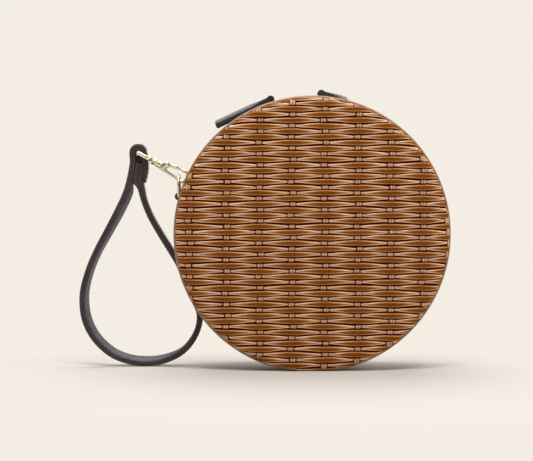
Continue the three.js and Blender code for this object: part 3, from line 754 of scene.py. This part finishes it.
def cheek_reach(a):
    """Outer reach of a cheek at an angle from the pull: a round eye with a bar along the pull."""
    if math.cos(a) <= 0:
        return CHEEK_R
    bar = min(CHEEK_LENGTH / max(math.cos(a), 1e-3), CHEEK_HALF / max(abs(math.sin(a)), 1e-3))
    return max(CHEEK_R, bar)


def pull_cheeks(tab, place, lean):
    """Cheeks that cover the ends of the pin."""
    for face in (-1, 1):
        rings = []
        for a in LOOP_TURNS:
            reach = cheek_reach(a)
            x, z = math.cos(a - lean), math.sin(a - lean)
            section = [(CHEEK_MIDDLE, CHEEK_IN), (reach, CHEEK_IN), (reach, CHEEK_EDGE),
                       (reach - 0.3, CHEEK_OUT), (CHEEK_MIDDLE, CHEEK_OUT)]
            rings.append([place(x * r, face * y, PIN_R + z * r) for r, y in section])
        tab.loft(rings, path_closed=True)


def pull_sewing(rows, place):
    sewing = Skin()
    origin = place(0, 0, 0)
    rows = np.array(rows)
    for y in (-PULL_SEAM, PULL_SEAM):
        for s in np.arange(PULL_SEAM_START, PULL_LENGTH - PULL_SEAM_MARGIN, PULL_SEAM_PITCH):
            row = [np.interp(s, rows[:, 0], column) for column in rows.T]
            lean, roll, half = row[3:]
            along = place(math.cos(lean), 0, -math.sin(lean)) - origin
            level = math.cos(roll)
            up = place(math.sin(lean) * level, -math.sin(roll), math.cos(lean) * level) - origin
            sewing.stitches([pull_point(place, row, y, half)], [along], [up], 2.0, 0.26)
    return sewing


def zip_pull(side, place):
    tab = Skin()
    rings, rows = [], []
    for s, x, z, thick, lean in pull_line(side == "right"):
        wide = PULL_NECK + (PULL_WIDTH - PULL_NECK) * float(smooth(s, 2.5, 5.5))
        end = min(1.0, 0.55 + (PULL_LENGTH - s) * 0.9)
        roll = math.radians(PULL_ROLL[side]) * float(smooth(s, 5, 14))
        corner = min(PULL_CORNER, thick * 0.36) * end
        section = rounded(wide / 2 * (0.94 + 0.06 * end), thick / 2 * end, corner, 5)
        row = (s, x, z, lean, roll, thick / 2)
        rings.append([pull_point(place, row, a, b) for a, b in section])
        rows.append(row)
    tab.loft(rings)
    loop = [[place(r * math.cos(a), y, PIN_R + r * math.sin(a)) for r, y in PULL_LOOP] for a in LOOP_TURNS]
    tab.loft(loop, path_closed=True)
    pull_cheeks(tab, place, lean=rows[0][3])
    tab.build(f"zip_pull_{side}", [DARK], "dark_leather", f"pull_{side}", (f"pull_{side}",))
    sewing = pull_sewing(rows, place)
    sewing.build(f"zip_pull_stitches_{side}", [DARK_THREAD], "dark_leather", f"pull_{side}")


# D-ring and the leather tab that holds it
RING_BAR = on_drum(RING_BAR_ANGLE, RING_BAR_R, 0.0)
RING_UP = unit(RING_APEX - RING_BAR)
RING_HIGH = float(np.linalg.norm(RING_APEX - RING_BAR))
RING_HALF, RING_WIRE = 6.6, 0.95
RING_CORNER = [(5.4, 0), (5.9, 0.1), (6.25, 0.35), (6.5, 0.75), (RING_HALF, 1.2)]  # across, up
TAB_HALF, TAB_THICK, TAB_CORNER, TAB_LIFT = 5.2, 3.0, 0.55, 0.3
TAB_START, TAB_END = RING_BAR_ANGLE + 0.6, 177.6
TAB_TIP = [(178.6, 2.2), (179.0, 1.5)]  # degrees, thickness
TAB_FOLD = [(1.35, -4.9), (2.2, -5.2), (2.6, -4.8), (2.6, 4.8), (2.2, 5.2), (1.35, 4.9)]  # radius, across
TAB_SECTIONS = 20
TAB_SEAM, TAB_STITCH_LIFT = 3.9, 3.32
TAB_RUN = np.arange(168.2, 177.4, 1.75)
TAB_CROSS = (168.0, 177.2)
TAB_CROSS_FROM, TAB_CROSS_TO, TAB_CROSS_PITCH = -2.4, 2.9, 2.4


def d_ring():
    bow_centre = RING_HIGH - RING_HALF
    bow_turns = np.radians(np.arange(0, 181, 7.5))
    path = RING_CORNER + [(RING_HALF * math.cos(a), bow_centre + RING_HALF * math.sin(a)) for a in bow_turns]
    path += [(-y, t) for y, t in RING_CORNER[::-1]]
    wire = Skin()
    wire.ring([RING_BAR + Y_AXIS * y + RING_UP * t for y, t in path], np.cross(Y_AXIS, RING_UP), RING_WIRE)
    wire.build("d_ring_wire", [GOLD], "gold", replaces=("d_ring",), sharp=180)


def ring_tab():
    tab, sewing = Skin(), Skin()
    rows = [(angle, TAB_THICK) for angle in np.linspace(TAB_START, TAB_END, TAB_SECTIONS)] + TAB_TIP
    rings = []
    for angle, deep in rows:
        section = rounded(TAB_HALF, deep / 2, TAB_CORNER)
        radius = gusset_radius(angle) + TAB_LIFT + deep / 2 + section[:, 1]
        rings.append(on_drum(angle, radius, section[:, 0]))
    tab.loft(rings)
    fold = []
    for a in LOOP_TURNS:
        fold.append([RING_BAR + np.array([r * math.cos(a), y, r * math.sin(a)]) for r, y in TAB_FOLD])
    tab.loft(fold, path_closed=True)
    tab.build("ring_tab_leather", [DARK], "dark_leather", replaces=("ring_tab",))
    for y in (-TAB_SEAM, TAB_SEAM):
        sewing.stitches(*drum_run(TAB_RUN, TAB_STITCH_LIFT, y))
    for angle in TAB_CROSS:
        cross_stitches(sewing, angle, TAB_CROSS_FROM, TAB_CROSS_TO, TAB_STITCH_LIFT, TAB_CROSS_PITCH)
    sewing.build("ring_tab_stitches", [DARK_THREAD], "dark_leather")


# Snap hook, in its own frame: along the hook, towards the gate, and to the front
HOOK_ALONG = unit(RING_APEX - STRAP_EYE)
HOOK_SIDE = np.array([-HOOK_ALONG[2], 0, HOOK_ALONG[0]])
HOOK_AT = STRAP_EYE + EYE_REACH * HOOK_ALONG
PLATE_START = 3.2  # the plate starts behind the ribbed collar
PLATE_HALF, PLATE_EDGE = 2.0, 0.8
BEND_U, BEND_V, BEND_OUTER, BEND_INNER = 18.8, 0.8, 4.5, 2.3
GATE_U, GATE_V = 6.2, 2.3  # the gate's pin
KNUCKLE_R, GATE_EYE_R = 2.0, 1.45
GATE_HALF, GATE_EDGE = 1.0, 0.4
COLLAR_PROFILE = [  # radius, along
    (1.5, -0.05), (2.5, -0.05), (2.75, 0.2), (2.75, 1.0), (2.45, 1.2), (2.45, 1.5), (2.75, 1.7), (2.75, 2.5),
    (2.45, 2.7), (2.45, 3.0), (2.7, 3.2), (2.6, 3.5), (2.0, 3.9)]
RIVET_PROFILE = [(1.05, 1.9), (1.05, 2.15), (0.7, 2.35), (0.05, 2.4)]  # radius, to the front
EYE_HALF, EYE_NECK_HALF, EYE_WIRE, EYE_BEND = 7.8, 1.6, 1.4, 1.7
EYE_SHOULDER, EYE_NECK = -5.6, -3.0
BARREL_PROFILE = [  # radius, along
    (1.3, -4.2), (2.0, -3.9), (2.4, -3.2), (2.4, -1.6), (2.1, -1.4), (2.1, -1.1), (2.4, -0.9), (2.3, -0.4),
    (1.2, -0.3), (1.2, 5.0), (0.05, 5.2)]


def in_hook(u, v, w):
    return HOOK_AT + HOOK_ALONG * u + HOOK_SIDE * v - Y_AXIS * w


def along_hook(a, b, h):
    return in_hook(h, a, b)


def arc(u, v, radius, start, end, steps=14):
    turns = np.radians(np.linspace(start, end, steps))
    return [(u + radius * math.cos(a), v + radius * math.sin(a)) for a in turns]


def cast_plate(outline, half, edge):
    """A flat casting with rounded edges in the hook's plane, as a mesh in the frame of the bag."""
    curve = bpy.data.curves.new("casting", "CURVE")
    curve.dimensions = "2D"
    curve.fill_mode = "BOTH"
    curve.extrude = (half - edge) * MM
    curve.bevel_depth = edge * MM
    curve.bevel_resolution = 3
    curve.offset = -edge * MM
    line = curve.splines.new("POLY")
    line.points.add(len(outline) - 1)
    line.use_cyclic_u = True
    for p, (u, v) in zip(line.points, outline):
        p.co = (u * MM, v * MM, 0, 1)
    holder = bpy.data.objects.new("casting", curve)
    bpy.context.scene.collection.objects.link(holder)
    bpy.context.view_layer.update()
    mesh = bpy.data.meshes.new_from_object(holder.evaluated_get(bpy.context.evaluated_depsgraph_get()))
    bpy.data.objects.remove(holder)
    bpy.data.curves.remove(curve)
    turn = Matrix([[*row] for row in np.array([HOOK_ALONG, HOOK_SIDE, -Y_AXIS]).T]).to_4x4()
    mesh.transform(Matrix.Translation(Vector(HOOK_AT * MM)) @ turn)
    work = bmesh.new()
    work.from_mesh(mesh)
    bmesh.ops.remove_doubles(work, verts=work.verts, dist=1e-6)
    work.to_mesh(mesh)
    work.free()
    return mesh


def hook_outline():
    spine = [(PLATE_START, -2.75), (17.2, -3.4)]
    bend = arc(BEND_U, BEND_V, BEND_OUTER, -100, 90, 24)
    nose = [(15.3, 4.9), (15.3, 3.0)]
    inside = arc(BEND_U, BEND_V, BEND_INNER, 90, -90, 16)
    throat = [(9.0, -0.9), (7.8, -0.6), (7.3, 0.0), (7.1, 0.5)]
    knuckle = arc(GATE_U, GATE_V, KNUCKLE_R, -60, 150)
    return spine + bend + nose + inside + throat + knuckle + [(PLATE_START, 2.6)]


def gate_outline():
    back = [(6.0, 3.75), (8.5, 4.0), (11.0, 4.4)]
    knob = [(11.6, 4.85), (12.2, 5.05), (12.8, 4.95), (13.4, 4.7)]
    tip = [(14.9, 4.8), (14.9, 3.3)]
    return back + knob + tip + [(6.8, 1.0)] + arc(GATE_U, GATE_V, GATE_EYE_R, -80, -260, 12)


def snap_hook():
    plate = cast_plate(hook_outline(), PLATE_HALF, PLATE_EDGE)
    dress("hook_casting", plate, [GOLD], replaces=("hook_body",), sharp=60)
    collar = Skin()
    collar.turned(COLLAR_PROFILE, along_hook, 28)
    for front in (-1, 1):
        rivet = [(r, h * front) for r, h in RIVET_PROFILE]
        collar.turned(rivet, lambda a, b, h: in_hook(GATE_U + a, GATE_V + b, h), 18)
    collar.build("hook_collar", [GOLD], "gold")
    lever = cast_plate(gate_outline(), GATE_HALF, GATE_EDGE)
    dress("hook_gate_lever", lever, [GOLD], "hook_gate", ("hook_gate",), sharp=60)


def swivel_eye():
    bar = -EYE_REACH
    right = [(bar, EYE_HALF), (EYE_SHOULDER, EYE_HALF), (EYE_NECK, EYE_NECK_HALF)]
    corners = [(bar, 0)] + right + [(u, -w) for u, w in right[::-1]]
    path = []
    for before, here, after in zip(corners[-1:] + corners, corners, corners[1:] + corners[:1]):
        before, here, after = (np.array(c, float) for c in (before, here, after))
        a = here + unit(before - here) * EYE_BEND
        b = here + unit(after - here) * EYE_BEND
        for t in np.linspace(0, 1, 6):
            path.append((1 - t) ** 2 * a + 2 * t * (1 - t) * here + t * t * b)
    eye = Skin()
    eye.ring([in_hook(u, 0, w) for u, w in path], HOOK_SIDE, EYE_WIRE)
    eye.turned(BARREL_PROFILE, along_hook, 28)
    eye.build("swivel_eye_wire", [GOLD], "gold", replaces=("swivel_eye",), sharp=50)


# Wrist strap: one strip, folded round the eye, round the wrist loop and back between its own plies
FOLD_R, FOLD_THICK = 3.65, 4.1
FOLD_ROWS = [(STRAP_EYE[0] + FOLD_R * math.cos(a), STRAP_EYE[2] + FOLD_R * math.sin(a), 0, 0, FOLD_THICK)
             for a in np.radians(np.arange(0, 181, 30))]
STRAP_ROWS = np.array([  # across, up, depth, twist in degrees, thickness
    (-110.0, 121.6, 0, 0, 1.4), (-109.6, 125.6, 0, 0, 2.6), (-109.1, 130.8, 0, 0, 3.2),
    (-109.4, 136.0, 0, 0, 3.8), *FOLD_ROWS, (-117.6, 136.0, 0, 0, 3.8), (-118.2, 130.8, 0, 0, 4.0),
    (-119.0, 126.4, 0, 0, 4.0), (-120.0, 121.6, 0, 3, 3.8), (-121.0, 115.4, 0, 14, 3.8),
    (-126.4, 103.5, 0, 14, 3.8), (-133.8, 89.8, 1, 11, 3.8), (-141.5, 75.7, 1, 8, 3.8),
    (-147.2, 62.0, 2, 8, 3.8), (-150.5, 47.0, 2, 10, 3.8), (-148.9, 31.1, 2, 12, 3.8),
    (-142.6, 18.7, 2, 11, 3.8), (-132.0, 8.9, 2, 11, 3.8), (-120.8, 4.3, 2, 10, 3.8),
    (-111.5, 3.0, 2, 11, 3.8), (-102.6, 3.4, 2, 9, 3.8), (-93.8, 5.8, 1, 6, 3.8),
    (-85.2, 10.2, 1, 1, 3.8), (-78.5, 17.8, 0, 0, 3.8), (-74.5, 26.9, 0, 0, 3.8),
    (-74.0, 35.8, 0, 0, 3.8), (-77.2, 43.3, 0, 0, 3.8), (-80.9, 50.9, 0, 0, 3.8),
    (-84.1, 58.5, 0, 0, 3.8), (-87.2, 67.3, 0, 0, 3.8), (-93.0, 77.2, 0, 0, 3.8),
    (-99.8, 88.3, 0, 0, 3.8), (-106.4, 100.2, 0, 0, 3.8), (-110.4, 110.4, 0, 0, 3.8),
    (-112.5, 118.8, 0, 0, 4.4), (-114.3, 122.8, 0, 0, 6.4), (-113.95, 126.6, 0, 0, 6.0),
    (-113.45, 130.8, 0, 0, 5.4), (-113.4, 135.4, 0, 0, 4.6), (-113.9, 139.9, 0, 0, 4.4)])
STRAP_STEPS = 8
STRAP_HALF, SET_BACK_HALF = 6.0, 3.6  # the end inside the fold is set back
STRAP_CORNER = 0.7
PLY_GAP, PLY_GROOVE = 0.2, 0.35  # the line between the plies of the strip
INNER_FACE, OUTER_FACE = 2, 11  # sides of the strap's section
FACE_SLOT, EDGE_SLOT, OUTER_SLOT = 0, 1, 2
STRAP_SEAM, STRAP_SEAM_START, STRAP_SEAM_MARGIN, STRAP_SEAM_PITCH = 4.5, 4.0, 9, 2.9
STRAP_SEAM_LOWEST = 0.6


def strap_section(half, deep):
    """Section of the strap: a rounded strip with a groove along each edge."""
    strip = rounded(half, deep / 2, min(STRAP_CORNER, deep * 0.3))
    gap = min(PLY_GAP, deep * 0.1)
    groove = np.array([(half, gap), (half - PLY_GROOVE, 0), (half, -gap)])
    return np.vstack([strip[:6], groove * (-1, 1), strip[6:], groove * (1, -1)])


def strap_sewing(line, along, across, through, thick):
    travel = np.concatenate([[0], np.cumsum(np.linalg.norm(np.diff(line, axis=0), axis=1))])
    marks = np.arange(STRAP_SEAM_START, travel[-1] - STRAP_SEAM_MARGIN, STRAP_SEAM_PITCH)

    def at_marks(values):
        return np.stack([np.interp(marks, travel, column) for column in values.T], -1)

    sewing = Skin()
    deep = np.interp(marks, travel, thick)[:, None] / 2
    for face in (-1, 1):
        up = unit(at_marks(through)) * face
        for y in (-STRAP_SEAM, STRAP_SEAM):
            points = at_marks(line) + unit(at_marks(across)) * y + up * deep
            keep = points[:, 2] > STRAP_SEAM_LOWEST
            sewing.stitches(points[keep], unit(at_marks(along))[keep], up[keep], 2.1, 0.24)
    return sewing


def wrist_strap():
    line = spline(STRAP_ROWS[:, [0, 2, 1]], STRAP_STEPS)
    row_count = len(STRAP_ROWS)
    spots = np.arange(len(line)) / STRAP_STEPS
    twist = np.radians(np.interp(spots, np.arange(row_count), STRAP_ROWS[:, 3]))[:, None]
    thick = np.interp(spots, np.arange(row_count), STRAP_ROWS[:, 4])
    along = unit(np.gradient(line, axis=0))
    flat = unit(Y_AXIS - along * along[:, 1:2])
    across = flat * np.cos(twist) + np.cross(along, flat) * np.sin(twist)
    through = np.cross(along, across)
    half = np.interp(spots, [row_count - 2.3, row_count - 1.9], [STRAP_HALF, SET_BACK_HALF])
    rings = []
    for i, deep in enumerate(thick):
        section = strap_section(half[i], deep)
        rings.append(line[i] + section[:, :1] * across[i] + section[:, 1:] * through[i])
    sides = np.full(len(rings[0]), EDGE_SLOT)
    sides[INNER_FACE] = FACE_SLOT
    sides[OUTER_FACE] = OUTER_SLOT
    strap = Skin()
    strap.loft(rings, slot=sides)
    strap.build("wrist_strap_leather", [FACE_LEATHER, EDGE, DARK], "dark_leather", replaces=("wrist_strap",),
                lowest=0.0, sharp=50)
    sewing = strap_sewing(line, along, across, through, thick)
    sewing.build("wrist_strap_stitches", [DARK_THREAD], "dark_leather", lowest=0.03)


# Stage, in metres: pale paper that runs out into the background, soft boxes and a camera
CREAM = (0.905, 0.847, 0.768, 1)
PAPER = (0.652, 0.615, 0.563, 1)
FILL = (0.95, 0.93, 0.9, 1)
FILL_FRONT, FILL_BEHIND = 0.1, 0.5  # the surround is dimmer in front
FLOOR_HALF = 30
FAR_START, FAR_END = 0.12, 0.34  # the floor turns into the background between these distances
BEHIND_START, BEHIND_END = -0.03, 0.09
SOFT_BOXES = [  # name, place, aim, size, power: high in front, above and behind, and one at each side
    ("front_box", (0.0, -0.62, 1.28), (-0.03, 0, 0.09), (0.8, 0.4), 12.8),
    ("top_box", (-0.05, 0.4, 1.0), (-0.03, 0, 0.08), (1.0, 0.7), 7),
    ("left_box", (-1.0, -0.55, 0.5), (-0.03, 0, 0.09), (0.8, 1.0), 1.8),
    ("right_box", (1.0, -0.5, 0.55), (-0.03, 0, 0.09), (0.8, 1.0), 4.6)]
CAMERA_AT = (-0.0296, -1.230, 0.150)
CAMERA_AIM = (-0.0296, -0.030, 0.0915)
CAMERA_FIELD = 16.3  # degrees across the picture
SENSOR_WIDTH = 36


def put_in_scene(name, data):
    holder = bpy.data.objects.new(name, data)
    bpy.context.scene.collection.objects.link(holder)
    return holder


def point_at(holder, place, aim):
    holder.location = place
    holder.rotation_euler = (Vector(aim) - Vector(place)).to_track_quat("-Z", "Y").to_euler()


def paper_floor():
    look = Look("paper_floor", {"Base Color": PAPER, "Roughness": 0.9, "Specular IOR Level": 0.1})
    glow = look.node("ShaderNodeEmission", {"Color": CREAM})
    coords = look.coords("Object")
    distance = look.node("ShaderNodeVectorMath", {0: coords}, operation="LENGTH").outputs["Value"]
    far = look.ease(distance, FAR_START, FAR_END)
    behind = look.ease(look.part(coords, "Y"), BEHIND_START, BEHIND_END)
    look.mix_shaders(look.math("MAXIMUM", far, behind), look.shader, glow, "Material Output")
    corners = [(x * FLOOR_HALF, y * FLOOR_HALF, 0) for x, y in ((-1, -1), (1, -1), (1, 1), (-1, 1))]
    mesh = bpy.data.meshes.new("floor")
    mesh.from_pydata(corners, [], [(0, 1, 2, 3)])
    mesh.materials.append(look.mat)
    floor = put_in_scene("floor", mesh)


def soft_box(name, place, aim, size, power):
    light = bpy.data.lights.new(name, "AREA")
    light.shape = "RECTANGLE"
    light.size, light.size_y = size
    light.energy = power
    point_at(put_in_scene(name, light), place, aim)


def surround():
    """A pale surround that lights the bag, with the cream background where the camera sees it."""
    world = bpy.data.worlds.new("studio")
    bpy.context.scene.world = world
    world.use_nodes = True
    sky = Nodes(world.node_tree)
    backdrop = sky.tree.nodes["Background"]
    backdrop.inputs["Color"].default_value = CREAM
    depth = sky.part(sky.coords("Generated"), "Y")
    reach = {"Value": depth, "From Min": -1.0, "To Min": FILL_FRONT, "To Max": FILL_BEHIND}
    strength = sky.node("ShaderNodeMapRange", reach).outputs[0]
    fill = sky.node("ShaderNodeBackground", {"Color": FILL, "Strength": strength})
    seen = sky.node("ShaderNodeLightPath", {}).outputs["Is Camera Ray"]
    sky.mix_shaders(seen, fill, backdrop, "World Output")
    bpy.context.scene.view_settings.view_transform = "Standard"


def photo_camera():
    """Camera straight on and a little above, as in the photograph."""
    lens = bpy.data.cameras.new("camera")
    lens.sensor_width = SENSOR_WIDTH
    lens.lens = SENSOR_WIDTH / 2 / math.tan(math.radians(CAMERA_FIELD / 2))
    lens.clip_end = 200
    camera = put_in_scene("camera", lens)
    point_at(camera, CAMERA_AT, CAMERA_AIM)
    bpy.context.scene.camera = camera


# The whole bag and its stage
woven_panel("front_panel", -1)
woven_panel("back_panel", 1)
gusset_and_bands()
zip_closure()
for side, degrees in PULL_PINS.items():
    place = zip_place(degrees, 1 if side == "left" else -1)
    zip_slider(side, place)
    zip_pull(side, place)
d_ring()
ring_tab()
snap_hook()
swivel_eye()
wrist_strap()
paper_floor()
for box in SOFT_BOXES:
    soft_box(*box)
surround()
photo_camera()
